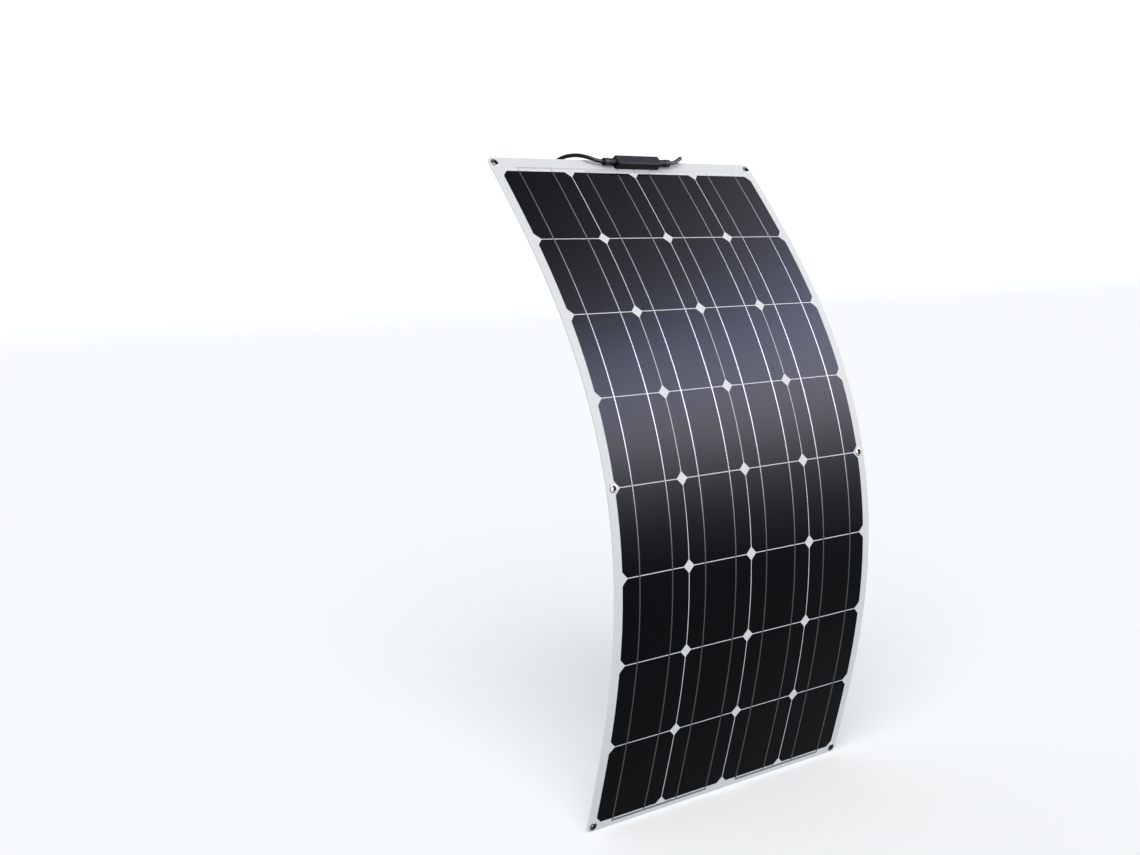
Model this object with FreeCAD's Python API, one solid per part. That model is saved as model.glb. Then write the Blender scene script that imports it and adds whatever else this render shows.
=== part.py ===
# Flexible solar sheet: a bowed laminate of 32 cells with eyelets, a junction box and two coiled leads.
# Millimetres. The origin is the middle of the back face at mid-length, +X runs along the width,
# +Z is up and the cells face -Y. The sheet is built as seven strips, parted along the gaps between
# the rows of cells, because those gaps are where it bends.
import FreeCAD, Part
import math
import os

# Driving dimensions
COLUMNS = 4
ROWS = 8
CELL = 125.0
WAFER_DIAMETER = 165.0
CELL_GAP = 2.0
PITCH = CELL + CELL_GAP
SHEET_WIDTH = 535.0
TOP_EDGE = 533.0
BOTTOM_EDGE = -520.0
CORNER_RADIUS = 9.0

# Bow: the lean at mid-length in degrees, the curvature there, and the length that the bow fades over
MIDDLE_LEAN = 12.3
MIDDLE_CURVATURE = 1.48e-3
BOW_LENGTH = 1050.0

# Depths below the front face at which one layer of the laminate ends and the next begins
FILM_BACK = 0.3
RIBBON_FRONT = 0.6
CELL_FRONT = 0.8
CELL_BACK = 1.0
BACKSHEET_FRONT = 1.5
THICKNESS = 2.5
STRIP_GAP = 0.7

# Ribbons that carry the current, seen along the width or up the sheet
CELL_RIBBON_WIDTH = 2.0
CELL_RIBBON_OFFSET = 31.0
BUS_WIDTH = 3.0
BOTTOM_BUS_WIDTH = 4.0
LINK_LOW = 508.6
OUTER_BUS_LOW = 512.4
BOTTOM_BUS_HIGH = -509.2
TAP_END = 521.5
TAP_WIDTH = 4.0

# Eyelets, at their distance from the middle of the width and their station up the sheet
EYELET_BORE = 7.0
EYELET_BARREL = 8.0
EYELET_FLANGE = 13.0
EYELET_FLANGE_HEIGHT = 0.9
EYELET_RIM = 10.4
EYELET_RIM_HEIGHT = 0.6
WASHER_DIAMETER = 13.0
WASHER_HEIGHT = 0.5
WASHER_SEAT = 0.04
EYELET_HOLE = 8.2
TOP_EYELETS = (258.0, 522.5)
MIDDLE_EYELETS = (256.0, 0.0)
BOTTOM_EYELETS = (257.0, -511.8)

# Junction box on the top margin
BOX_ACROSS = 12.0
BOX_STATION = 524.5
BOX_LENGTH = 90.0
BOX_WIDTH = 16.8
PAD_HEIGHT = 0.8
BASE_TOP = 11.2
BOX_TOP = 13.6
BOX_WALL = 1.8
BOX_FLOOR = 1.5
BOX_CORNER = 2.5
LID_RIM_DEPTH = 1.2
LID_RIM_WALL = 1.2
LID_CLEARANCE = 0.15
POTTING_TOP = 9.3
TERMINAL_ACROSS = 34.0
TERMINAL_THICKNESS = 0.8
LEG_WIDTH = 3.0
LEG_THICKNESS = 1.0
LEG_OFFSET = -4.5
LEG_CLEARANCE = 0.2
CRIMP_DIAMETER = 4.0

# Cable glands, one on each end of the box, measured outwards from the end wall
GLAND_HEIGHT = 7.2
SPIGOT_DIAMETER = 9.6
SPIGOT_SHOULDER = 12.0
SPIGOT_THREAD = 8.2
SPIGOT_END = 18.0
SPIGOT_RINGS = (2.5, 6.0, 9.5)
RING_DIAMETER = 10.8
RING_WIDTH = 1.6
NUT_START = 12.4
NUT_END = 24.0
NUT_DIAMETER = 11.6
NUT_WALL = 2.5
NUT_FLUTES = 12
FLUTE_DIAMETER = 1.2
CABLE_HOLE = 6.4

# Leads
LEAD_DIAMETER = 6.0
LEAD_START = 14.0
LEAD_FIRST_TURN = 32.0
LEFT_LEAD_POINTS = [
    (-83.0, 256.0, 461.0),
    (-99.0, 266.0, 465.5),
    (-109.5, 282.5, 463.5),
    (-115.0, 297.5, 452.5),
    (-116.5, 306.5, 436.0),
    (-117.0, 309.5, 418.0),
    (-117.0, 310.5, 400.0),
]
RIGHT_LEAD_POINTS = [
    (105.5, 257.5, 461.5),
    (120.5, 269.0, 466.0),
    (130.0, 286.0, 464.0),
    (134.5, 301.5, 453.0),
    (135.5, 310.5, 436.0),
    (135.5, 313.0, 417.5),
    (135.5, 313.5, 399.5),
]

# Coils that take up the rest of each lead, and the free tails that end in the connectors
COIL_RADIUS = 34.0
COIL_TURNS = 3.25
COIL_PITCH = 6.2
COIL_SLACK = 0.6
TAIL_RUNS = [(17.7, -3.1), (14.6, -10.6), (8.2, -16.0), (0.0, -17.9)]
TIE_WIDTH = 8.0
TIE_THICKNESS = 1.2
TIE_CLEARANCE = 0.5

# Connectors, measured along their axis from where the lead goes in
SLEEVE_DIAMETER = 14.0
SLEEVE_LENGTH = 16.0
BODY_DIAMETER = 16.0
BODY_END = 38.0
PLUG_NOSE_DIAMETER = 10.6
PLUG_NOSE_END = 58.0
SOCKET_END = 60.0
SOCKET_BORE = 11.2
SOCKET_DEPTH = 21.0
CONTACT_DIAMETER = 3.4
CONTACT_BORE = 5.0
SOCKET_CONTACT = 12.0

X_AXIS = FreeCAD.Vector(1, 0, 0)
Y_AXIS = FreeCAD.Vector(0, 1, 0)
Z_AXIS = FreeCAD.Vector(0, 0, 1)
HALF_WIDTH = SHEET_WIDTH / 2
HALF_ROWS = ROWS // 2
ROW_CURVATURES = [
    MIDDLE_CURVATURE * math.cos(math.pi * PITCH * (row + 0.5) / BOW_LENGTH)
    for row in range(HALF_ROWS)
]
BENDS = [PITCH * row for row in range(-HALF_ROWS, HALF_ROWS + 1) if row != 0]

# Each strip of the sheet: the name that its nodes end in, its first and its last row of cells
STRIPS = [
    ("row_1", 1, 1),
    ("row_2", 2, 2),
    ("row_3", 3, 3),
    ("rows_4_5", 4, 5),
    ("row_6", 6, 6),
    ("row_7", 7, 7),
    ("row_8", 8, 8),
]


def lean_at(station):
    """The angle in radians between the sheet and the upright at a station, counted up the sheet."""
    left = abs(station)
    turned = 0.0
    for curvature in ROW_CURVATURES:
        step = min(PITCH, left)
        turned += curvature * step
        left -= step
    return math.radians(MIDDLE_LEAN) + math.copysign(turned, station)


def on_sheet(across, station, depth=0.0):
    """The point at a distance across, a station along the front face and a depth below it."""
    sign = math.copysign(1.0, station)
    lean = math.radians(MIDDLE_LEAN)
    y = -THICKNESS * math.cos(lean)
    z = THICKNESS * math.sin(lean)
    left = abs(station)
    for curvature in ROW_CURVATURES:
        step = min(PITCH, left)
        turned = lean + sign * curvature * step
        y += (math.cos(lean) - math.cos(turned)) / curvature
        z += (math.sin(turned) - math.sin(lean)) / curvature
        lean = turned
        left -= step
    y += sign * left * math.sin(lean)
    z += sign * left * math.cos(lean)
    return FreeCAD.Vector(across, y + depth * math.cos(lean), z - depth * math.sin(lean))


def frame_at(across, station):
    """A frame on the front face: X along the width, Y up the sheet, Z out of the front."""
    turn = FreeCAD.Rotation(X_AXIS, 90.0 - math.degrees(lean_at(station)))
    return FreeCAD.Placement(on_sheet(across, station), turn)


def bow_edge(start, end, depth):
    """The sheet's side line between two stations: an arc in the rows, straight in the margins."""
    first = on_sheet(0, start, depth)
    last = on_sheet(0, end, depth)
    if abs(start + end) / 2 > HALF_ROWS * PITCH:
        return Part.LineSegment(first, last).toShape()
    return Part.Arc(first, on_sheet(0, (start + end) / 2, depth), last).toShape()


def band(low, high, front, back, left, right):
    """A slab of the bowed sheet between two stations, two depths and two distances across."""
    stations = [low] + [bend for bend in BENDS if low < bend < high] + [high]
    pairs = list(zip(stations, stations[1:]))
    edges = [bow_edge(start, end, front) for start, end in pairs]
    edges.append(Part.LineSegment(on_sheet(0, high, front), on_sheet(0, high, back)).toShape())
    edges += [bow_edge(end, start, back) for start, end in reversed(pairs)]
    edges.append(Part.LineSegment(on_sheet(0, low, back), on_sheet(0, low, front)).toShape())
    slab = Part.Face(Part.Wire(edges)).extrude(X_AXIS * (right - left))
    slab.translate(X_AXIS * left)
    return slab


def strip_ends(first_row, last_row):
    """The stations where a strip begins and ends, and the eyelets that it carries."""
    high = TOP_EDGE if first_row == 1 else (HALF_ROWS - first_row + 1) * PITCH - STRIP_GAP / 2
    low = BOTTOM_EDGE if last_row == ROWS else (HALF_ROWS - last_row) * PITCH + STRIP_GAP / 2
    if first_row == 1:
        return low, high, TOP_EYELETS
    if last_row == ROWS:
        return low, high, BOTTOM_EYELETS
    return low, high, (MIDDLE_EYELETS if last_row > first_row else None)


def layer(first_row, last_row, front, back):
    """One full-width layer of a strip, with the sheet's round corners and the eyelet holes."""
    low, high, eyelets = strip_ends(first_row, last_row)
    slab = band(low, high, front, back, -HALF_WIDTH, HALF_WIDTH)
    outer_station = {TOP_EDGE: high, BOTTOM_EDGE: low}
    for edge_station in (TOP_EDGE, BOTTOM_EDGE):
        if edge_station not in (low, high):
            continue
        level = on_sheet(0, outer_station[edge_station], (front + back) / 2).z
        corners = [
            edge
            for edge in slab.Edges
            if abs(abs(edge.CenterOfMass.x) - HALF_WIDTH) < 0.01
            and abs(edge.CenterOfMass.z - level) < 0.01
            and edge.Length < THICKNESS
        ]
        slab = slab.makeFillet(CORNER_RADIUS, corners)
    if eyelets:
        slab = slab.cut([eyelet_hole(side * eyelets[0], eyelets[1]) for side in (-1, 1)])
    return slab


def eyelet_hole(across, station):
    hole = Part.makeCylinder(EYELET_HOLE / 2, 4 * THICKNESS, FreeCAD.Vector(0, 0, -2 * THICKNESS))
    hole.Placement = frame_at(across, station)
    return hole


def row_station(row):
    return (HALF_ROWS - row + 0.5) * PITCH


def column_across(column):
    return (column - (COLUMNS - 1) / 2) * PITCH


def cell(row, column):
    """A square cell whose corners are trimmed by the round wafer it was cut from."""
    across = column_across(column)
    station = row_station(row)
    half = CELL / 2
    square = band(
        station - half, station + half, CELL_FRONT, CELL_BACK, across - half, across + half
    )
    wafer = Part.makeCylinder(WAFER_DIAMETER / 2, 40.0, FreeCAD.Vector(0, 0, -20.0))
    wafer.Placement = frame_at(across, station)
    return square.common(wafer)


def cells(first_row, last_row):
    return [
        cell(row, column) for row in range(first_row, last_row + 1) for column in range(COLUMNS)
    ]


def cell_ribbons(first_row, last_row):
    """The two flat wires on the face of every cell, in one length per strip."""
    low, high, _ = strip_ends(first_row, last_row)
    ribbons = []
    for column in range(COLUMNS):
        inner = column in (1, COLUMNS - 2)
        top = high if first_row > 1 else (LINK_LOW if inner else OUTER_BUS_LOW)
        bottom = low if last_row < ROWS else BOTTOM_BUS_HIGH
        for side in (-1, 1):
            middle = column_across(column) + side * CELL_RIBBON_OFFSET
            ribbons.append(
                band(
                    bottom,
                    top,
                    RIBBON_FRONT,
                    CELL_FRONT,
                    middle - CELL_RIBBON_WIDTH / 2,
                    middle + CELL_RIBBON_WIDTH / 2,
                )
            )
    return ribbons


def ribbon_across(column, side):
    return column_across(column) + side * (CELL_RIBBON_OFFSET + CELL_RIBBON_WIDTH / 2)


def bus(low, width, left, right):
    return band(low, low + width, RIBBON_FRONT, CELL_FRONT, left, right)


def tap(low, across):
    """The end of a bus ribbon that turns up under the junction box to one terminal."""
    return bus(low, TAP_END - low, across - TAP_WIDTH / 2, across + TAP_WIDTH / 2)


def bus_ribbons_top():
    """Two outer ribbons from columns 1 and 4 to the box, and the link of columns 2 and 3."""
    far = COLUMNS - 1
    left_tap = BOX_ACROSS - TERMINAL_ACROSS
    right_tap = BOX_ACROSS + TERMINAL_ACROSS
    half_tap = TAP_WIDTH / 2
    left = bus(OUTER_BUS_LOW, BUS_WIDTH, ribbon_across(0, -1), left_tap + half_tap)
    right = bus(OUTER_BUS_LOW, BUS_WIDTH, right_tap - half_tap, ribbon_across(far, 1))
    link = bus(LINK_LOW, BUS_WIDTH, ribbon_across(1, -1), ribbon_across(far - 1, 1))
    return [
        left.fuse(tap(OUTER_BUS_LOW, left_tap)).removeSplitter(),
        right.fuse(tap(OUTER_BUS_LOW, right_tap)).removeSplitter(),
        link.fuse(tap(LINK_LOW, BOX_ACROSS)).removeSplitter(),
    ]


def bus_ribbons_bottom():
    """Two links along the bottom margin: columns 1 and 2, and columns 3 and 4."""
    low = BOTTOM_BUS_HIGH - BOTTOM_BUS_WIDTH
    return [
        bus(low, BOTTOM_BUS_WIDTH, ribbon_across(column, -1), ribbon_across(column + 1, 1))
        for column in range(0, COLUMNS, 2)
    ]


def terminal_slot(across):
    """The room that a terminal's leg needs on its way down to its ribbon."""
    wide = LEG_WIDTH + 2 * LEG_CLEARANCE
    thick = LEG_THICKNESS + 2 * LEG_CLEARANCE
    deep = RIBBON_FRONT + PAD_HEIGHT + BOX_FLOOR + 0.1
    corner = FreeCAD.Vector(across - wide / 2, LEG_OFFSET - thick / 2, -RIBBON_FRONT)
    return Part.makeBox(wide, thick, deep, corner)


def terminal_slots():
    return [terminal_slot(across) for across in (-TERMINAL_ACROSS, 0.0, TERMINAL_ACROSS)]


def on_margin(shape):
    """Put a shape made in the junction box's own frame on the top margin."""
    placed = shape.copy()
    placed.Placement = frame_at(BOX_ACROSS, BOX_STATION).multiply(shape.Placement)
    return placed


def on_margin_slots():
    return [on_margin(slot) for slot in terminal_slots()]


def front_film(first_row, last_row):
    """The clear skin over the cells."""
    film = layer(first_row, last_row, 0.0, FILM_BACK)
    return [film.cut(on_margin_slots())] if first_row == 1 else [film]


def encapsulant(first_row, last_row):
    """Two layers of clear glue: grooves for the ribbons in front, pockets for the cells behind."""
    front = layer(first_row, last_row, FILM_BACK, CELL_FRONT)
    grooves = cell_ribbons(first_row, last_row)
    if first_row == 1:
        grooves += bus_ribbons_top() + on_margin_slots()
    if last_row == ROWS:
        grooves += bus_ribbons_bottom()
    rear = layer(first_row, last_row, CELL_FRONT, BACKSHEET_FRONT)
    return [front.cut(grooves), rear.cut(cells(first_row, last_row))]


def backsheet(first_row, last_row):
    """The white carrier that stiffens the sheet and shows as its margins."""
    return [layer(first_row, last_row, BACKSHEET_FRONT, THICKNESS)]


def turned(profile):
    """A solid of revolution about Z from a closed list of (radius, height) points."""
    points = [FreeCAD.Vector(radius, 0, height) for radius, height in profile]
    return Part.Face(Part.makePolygon(points + points[:1])).revolve(
        FreeCAD.Vector(0, 0, 0), Z_AXIS, 360
    )


def eyelets(where):
    """Metal eyelets: a flange on the front, a barrel through the sheet, a rim rolled behind."""
    bore = EYELET_BORE / 2
    barrel = EYELET_BARREL / 2
    flange = EYELET_FLANGE / 2
    rim = EYELET_RIM / 2
    top = EYELET_FLANGE_HEIGHT
    bevel = EYELET_FLANGE_HEIGHT / 2
    seat = -THICKNESS - WASHER_SEAT - WASHER_HEIGHT
    bottom = seat - EYELET_RIM_HEIGHT
    profile = [
        (bore, bottom),
        (rim, bottom),
        (rim, seat),
        (barrel, seat),
        (barrel, 0.0),
        (flange, 0.0),
        (flange, bevel),
        (flange - bevel, top),
        (bore, top),
    ]
    return placed_pair(turned(profile), where)


def washers(where):
    """The flat rings behind the sheet that the eyelets are rolled over."""
    low = -THICKNESS - WASHER_SEAT - WASHER_HEIGHT
    high = low + WASHER_HEIGHT
    inner = EYELET_BARREL / 2
    outer = WASHER_DIAMETER / 2
    profile = [(inner, low), (outer, low), (outer, high), (inner, high)]
    return placed_pair(turned(profile), where)


def placed_pair(shape, where):
    """The same shape on the left and the right of the sheet."""
    pair = []
    for side in (-1, 1):
        one = shape.copy()
        one.Placement = frame_at(side * where[0], where[1])
        pair.append(one)
    return pair


def box_block(length, width, bottom, top, corner):
    """A block with round upright corners, centred on the box's frame."""
    block = Part.makeBox(
        length, width, top - bottom, FreeCAD.Vector(-length / 2, -width / 2, bottom)
    )
    upright = [edge for edge in block.Edges if abs(edge.tangentAt(0).z) > 0.9]
    return block.makeFillet(corner, upright)


def cavity(shrink, bottom, top):
    """The inside of the box's walls, made smaller all round by shrink."""
    inset = 2 * (BOX_WALL + shrink)
    corner = BOX_CORNER - BOX_WALL
    return box_block(BOX_LENGTH - inset, BOX_WIDTH - inset, bottom, top, corner)


def along_gland(profile):
    """A turned piece whose axis is the right-hand gland's, measured out from the end wall."""
    piece = turned(profile)
    piece.Placement = FreeCAD.Placement(
        FreeCAD.Vector(BOX_LENGTH / 2, 0, GLAND_HEIGHT), FreeCAD.Rotation(Y_AXIS, 90)
    )
    return piece


def both_ends(piece):
    """A gland piece on the right-hand end and its mirror image on the left-hand end."""
    return [piece.mirror(FreeCAD.Vector(0, 0, 0), X_AXIS), piece]


def spigot():
    """The gland's threaded body, which is moulded on the box with three grip rings."""
    shoulder = SPIGOT_DIAMETER / 2
    ring = RING_DIAMETER / 2
    thread = SPIGOT_THREAD / 2
    profile = [(0, 0), (shoulder, 0)]
    for middle in SPIGOT_RINGS:
        low = middle - RING_WIDTH / 2
        high = middle + RING_WIDTH / 2
        profile += [(shoulder, low), (ring, low), (ring, high), (shoulder, high)]
    profile += [(shoulder, SPIGOT_SHOULDER), (thread, SPIGOT_SHOULDER)]
    profile += [(thread, SPIGOT_END), (0, SPIGOT_END)]
    return along_gland(profile)


def junction_box_base():
    """The open tray of the junction box, with a gland body on each end."""
    base = box_block(BOX_LENGTH, BOX_WIDTH, PAD_HEIGHT, BASE_TOP, BOX_CORNER)
    base = base.fuse(both_ends(spigot())).removeSplitter()
    bore = Part.makeCylinder(
        CABLE_HOLE / 2,
        BOX_LENGTH + 4 * NUT_END,
        FreeCAD.Vector(-BOX_LENGTH / 2 - 2 * NUT_END, 0, GLAND_HEIGHT),
        X_AXIS,
    )
    room = cavity(0.0, PAD_HEIGHT + BOX_FLOOR, BOX_TOP)
    return [on_margin(base.cut([room, bore] + terminal_slots()))]


def junction_box_lid():
    """The snap-on cover: a flat top with soft edges and a rim that drops inside the walls."""
    cover = box_block(BOX_LENGTH, BOX_WIDTH, BASE_TOP, BOX_TOP, BOX_CORNER)
    rim_edges = [edge for edge in cover.Edges if edge.BoundBox.ZMin > BOX_TOP - 0.01]
    cover = cover.makeFillet(1.1, rim_edges)
    rim_bottom = BASE_TOP - LID_RIM_DEPTH
    rim = cavity(LID_CLEARANCE, rim_bottom, BASE_TOP)
    inset = 2 * (BOX_WALL + LID_CLEARANCE + LID_RIM_WALL)
    length = BOX_LENGTH - inset
    width = BOX_WIDTH - inset
    hollow = Part.makeBox(
        length, width, LID_RIM_DEPTH, FreeCAD.Vector(-length / 2, -width / 2, rim_bottom)
    )
    return [on_margin(cover.fuse(rim.cut(hollow)).removeSplitter())]


def box_adhesive_pad():
    """The foam tape that sticks the junction box to the front film."""
    pad = box_block(BOX_LENGTH - 2, BOX_WIDTH - 1.5, 0.0, PAD_HEIGHT, BOX_CORNER)
    return [on_margin(pad.cut(terminal_slots()))]


def terminal(across, crimp_side):
    """A brass strip: a foot on the floor, a leg down to the ribbon, a tab and perhaps a crimp."""
    floor = PAD_HEIGHT + BOX_FLOOR
    half = TERMINAL_THICKNESS / 2
    foot = Part.makeBox(8.0, 11.0, 0.7, FreeCAD.Vector(across - 4.0, -5.5, floor))
    leg = Part.makeBox(
        LEG_WIDTH,
        LEG_THICKNESS,
        floor + RIBBON_FRONT,
        FreeCAD.Vector(across - LEG_WIDTH / 2, LEG_OFFSET - LEG_THICKNESS / 2, -RIBBON_FRONT),
    )
    tab = Part.makeBox(
        2 * half, 6.0, POTTING_TOP - floor, FreeCAD.Vector(across - half, -3.0, floor)
    )
    pieces = [leg, tab]
    if crimp_side:
        reach = BOX_LENGTH / 2 + LEAD_START - TERMINAL_ACROSS - half
        pieces.append(
            Part.makeCylinder(
                CRIMP_DIAMETER / 2,
                reach,
                FreeCAD.Vector(across + crimp_side * half, 0, GLAND_HEIGHT),
                X_AXIS * crimp_side,
            )
        )
    return foot.fuse(pieces).removeSplitter()


def box_frame_terminals():
    return [terminal(-TERMINAL_ACROSS, -1), terminal(0.0, 0), terminal(TERMINAL_ACROSS, 1)]


def box_terminals():
    return [on_margin(piece) for piece in box_frame_terminals()]


def box_frame_diodes():
    """Two bypass diodes, each wired between the middle terminal and an outer one."""
    inner = TERMINAL_THICKNESS / 2
    outer = TERMINAL_ACROSS - TERMINAL_THICKNESS / 2
    middle = (inner + outer) / 2
    diodes = []
    for side in (-1, 1):
        start = FreeCAD.Vector(side * inner, 0, GLAND_HEIGHT - 0.9)
        wire = Part.makeCylinder(0.5, outer - inner, start, X_AXIS * side)
        shell = Part.makeCylinder(
            2.5, 9.0, FreeCAD.Vector(side * (middle - 4.5), 0, start.z), X_AXIS * side
        )
        diodes.append(shell.fuse(wire).removeSplitter())
    return diodes


def bypass_diodes():
    return [on_margin(piece) for piece in box_frame_diodes()]


def box_potting():
    """The resin that fills the box round its terminals and diodes."""
    fill = cavity(0.0, PAD_HEIGHT + BOX_FLOOR, POTTING_TOP)
    return [on_margin(fill.cut(box_frame_terminals() + box_frame_diodes()))]


def gland_nuts():
    """The fluted nuts that squeeze the seals on to the leads."""
    outer = NUT_DIAMETER / 2
    inner = SPIGOT_THREAD / 2 + 0.2
    hole = CABLE_HOLE / 2
    profile = [
        (inner, NUT_START),
        (outer, NUT_START),
        (outer, NUT_END - 2.0),
        (outer - 1.2, NUT_END),
        (hole, NUT_END),
        (hole, NUT_END - NUT_WALL),
        (inner, NUT_END - NUT_WALL),
    ]
    nut = along_gland(profile)
    flutes = []
    for index in range(NUT_FLUTES):
        angle = 2 * math.pi * (index + 0.5) / NUT_FLUTES
        start = FreeCAD.Vector(
            BOX_LENGTH / 2 + NUT_START - 1,
            (outer + 0.2) * math.cos(angle),
            GLAND_HEIGHT + (outer + 0.2) * math.sin(angle),
        )
        flutes.append(
            Part.makeCylinder(FLUTE_DIAMETER / 2, NUT_END - NUT_START - 2.5, start, X_AXIS)
        )
    return [on_margin(one) for one in both_ends(nut.cut(flutes))]


def gland_seals():
    """The rubber rings that grip the leads inside the nuts."""
    outer = SPIGOT_THREAD / 2
    inner = LEAD_DIAMETER / 2
    low = SPIGOT_END + 0.1
    high = NUT_END - NUT_WALL - 0.1
    profile = [(inner, low), (outer, low), (outer, high), (inner, high)]
    return [on_margin(one) for one in both_ends(along_gland(profile))]


def gland_point(side, distance):
    """A point on a gland's axis, at a distance out from the box's end wall."""
    local = FreeCAD.Vector(side * (BOX_LENGTH / 2 + distance), 0, GLAND_HEIGHT)
    return frame_at(BOX_ACROSS, BOX_STATION).multVec(local)


def tube(points, name):
    """A round cord along straight runs joined by tangent arcs, with its radii printed."""
    edges = []
    radii = []
    here = points[0]
    for before, corner, after in zip(points, points[1:], points[2:]):
        back = (before - corner).normalize()
        ahead = (after - corner).normalize()
        half_turn = (math.pi - back.getAngle(ahead)) / 2
        cut = 0.45 * min((before - corner).Length, (after - corner).Length)
        radius = cut / math.tan(half_turn)
        radii.append(radius)
        start = corner + back * cut
        end = corner + ahead * cut
        inward = (back + ahead).normalize()
        middle = corner + inward * (radius / math.cos(half_turn) - radius)
        edges.append(Part.LineSegment(here, start).toShape())
        edges.append(Part.Arc(start, middle, end).toShape())
        here = end
    edges.append(Part.LineSegment(here, points[-1]).toShape())
    path = Part.Wire(edges)
    ring = Part.Wire(
        Part.Circle(points[0], (points[1] - points[0]).normalize(), LEAD_DIAMETER / 2).toShape()
    )
    solid = Part.Solid(path.makePipeShell([ring], True, True))
    section = math.pi * (LEAD_DIAMETER / 2) ** 2
    print(name, "length", round(path.Length, 1), "radii", [round(radius, 1) for radius in radii])
    print(name, "volume over section times length", round(solid.Volume / section / path.Length, 4))
    return solid


def lead_route(side, points):
    """The route of a lead: out of its gland, then over the top edge and down behind the sheet."""
    route = [gland_point(side, LEAD_START), gland_point(side, LEAD_FIRST_TURN)]
    return route + [FreeCAD.Vector(*point) for point in points]


def lead_left():
    return [tube(lead_route(-1, LEFT_LEAD_POINTS), "lead_left")]


def lead_right():
    return [tube(lead_route(1, RIGHT_LEAD_POINTS), "lead_right")]


def coil_middle(side, points):
    """The centre of a coil's first turn, level with the end of its lead's free stretch."""
    end = FreeCAD.Vector(*points[-1])
    return end - X_AXIS * side * COIL_RADIUS


def coil_depth():
    return COIL_TURNS * COIL_PITCH


def tail_points(side, points):
    """The free end of a lead, from the bottom of its coil down to its connector."""
    bottom = coil_middle(side, points)
    bottom = bottom - Z_AXIS * COIL_RADIUS - Y_AXIS * coil_depth()
    route = [bottom]
    for across, up in TAIL_RUNS:
        route.append(route[-1] + FreeCAD.Vector(-side * across, 0, up))
    return route


def coil(side, points, name):
    """The outer shape of the wound length, with the free tail at its bottom."""
    half = LEAD_DIAMETER / 2 + COIL_SLACK
    middle = coil_middle(side, points)
    front = middle.y - coil_depth() - LEAD_DIAMETER / 2
    depth = coil_depth() + LEAD_DIAMETER
    start = FreeCAD.Vector(middle.x, front, middle.z)
    outer = Part.makeCylinder(COIL_RADIUS + half, depth, start, Y_AXIS)
    inner = Part.makeCylinder(COIL_RADIUS - half, depth, start, Y_AXIS)
    ring = outer.cut(inner)
    return ring.fuse(tube(tail_points(side, points), name)).removeSplitter()


def lead_left_coil():
    return [coil(-1, LEFT_LEAD_POINTS, "left tail")]


def lead_right_coil():
    return [coil(1, RIGHT_LEAD_POINTS, "right tail")]


def tie(side, points):
    """A cable tie round the top of a coil, with its square head."""
    half = LEAD_DIAMETER / 2 + COIL_SLACK + TIE_CLEARANCE
    middle = coil_middle(side, points)
    depth = coil_depth() + LEAD_DIAMETER + 2 * TIE_CLEARANCE
    low = FreeCAD.Vector(
        middle.x - TIE_WIDTH / 2,
        middle.y - coil_depth() - LEAD_DIAMETER / 2 - TIE_CLEARANCE,
        middle.z + COIL_RADIUS - half,
    )
    room = Part.makeBox(TIE_WIDTH, depth, 2 * half, low)
    wall = FreeCAD.Vector(0, TIE_THICKNESS, TIE_THICKNESS)
    strap = Part.makeBox(
        TIE_WIDTH, depth + 2 * TIE_THICKNESS, 2 * (half + TIE_THICKNESS), low - wall
    )
    head = Part.makeBox(
        TIE_WIDTH + 1.0,
        7.0,
        5.0,
        FreeCAD.Vector(low.x - 0.5, low.y + depth / 2 - 3.5, low.z + 2 * half + 0.2),
    )
    return strap.fuse(head).cut(room).removeSplitter()


def coil_ties():
    return [tie(-1, LEFT_LEAD_POINTS), tie(1, RIGHT_LEAD_POINTS)]


def on_tail(shape, side, points):
    """Put a connector piece, made about Z from its cable end, on the end of a tail."""
    route = tail_points(side, points)
    along = (route[-1] - route[-2]).normalize()
    placed = shape.copy()
    placed.Placement = FreeCAD.Placement(route[-1], FreeCAD.Rotation(Z_AXIS, along))
    return placed


def connector_sleeve():
    """The ribbed nut at a connector's cable end, closed on the lead."""
    outer = SLEEVE_DIAMETER / 2
    neck = outer - 3.0
    profile = [(0, 0), (neck, 0), (outer, 5.0), (outer, SLEEVE_LENGTH), (0, SLEEVE_LENGTH)]
    sleeve = turned(profile)
    flutes = []
    for index in range(NUT_FLUTES):
        angle = 2 * math.pi * index / NUT_FLUTES
        start = FreeCAD.Vector(
            (outer + 0.2) * math.cos(angle), (outer + 0.2) * math.sin(angle), 6.0
        )
        flutes.append(Part.makeCylinder(FLUTE_DIAMETER / 2, SLEEVE_LENGTH, start, Z_AXIS))
    return sleeve.cut(flutes)


def connector_sleeves():
    sleeve = connector_sleeve()
    return [on_tail(sleeve, -1, LEFT_LEAD_POINTS), on_tail(sleeve, 1, RIGHT_LEAD_POINTS)]


def plug_housing():
    """The plug: a stout body, two latch arms and a nose with the pin set in its bore."""
    body = BODY_DIAMETER / 2
    nose = PLUG_NOSE_DIAMETER / 2
    bore = CONTACT_BORE / 2
    deep = BODY_END
    profile = [
        (0, SLEEVE_LENGTH),
        (body, SLEEVE_LENGTH),
        (body, BODY_END),
        (nose, BODY_END),
        (nose, PLUG_NOSE_END),
        (bore, PLUG_NOSE_END),
        (bore, deep),
        (0, deep),
    ]
    housing = turned(profile)
    arms = [
        Part.makeBox(3.0, 5.0, 17.0, FreeCAD.Vector(offset, -2.5, BODY_END - 1.0))
        for offset in (-body + 0.2, body - 3.2)
    ]
    arms = [arm.cut(Part.makeCylinder(nose + 0.3, 80.0)) for arm in arms]
    return [on_tail(housing.fuse(arms).removeSplitter(), -1, LEFT_LEAD_POINTS)]


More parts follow.
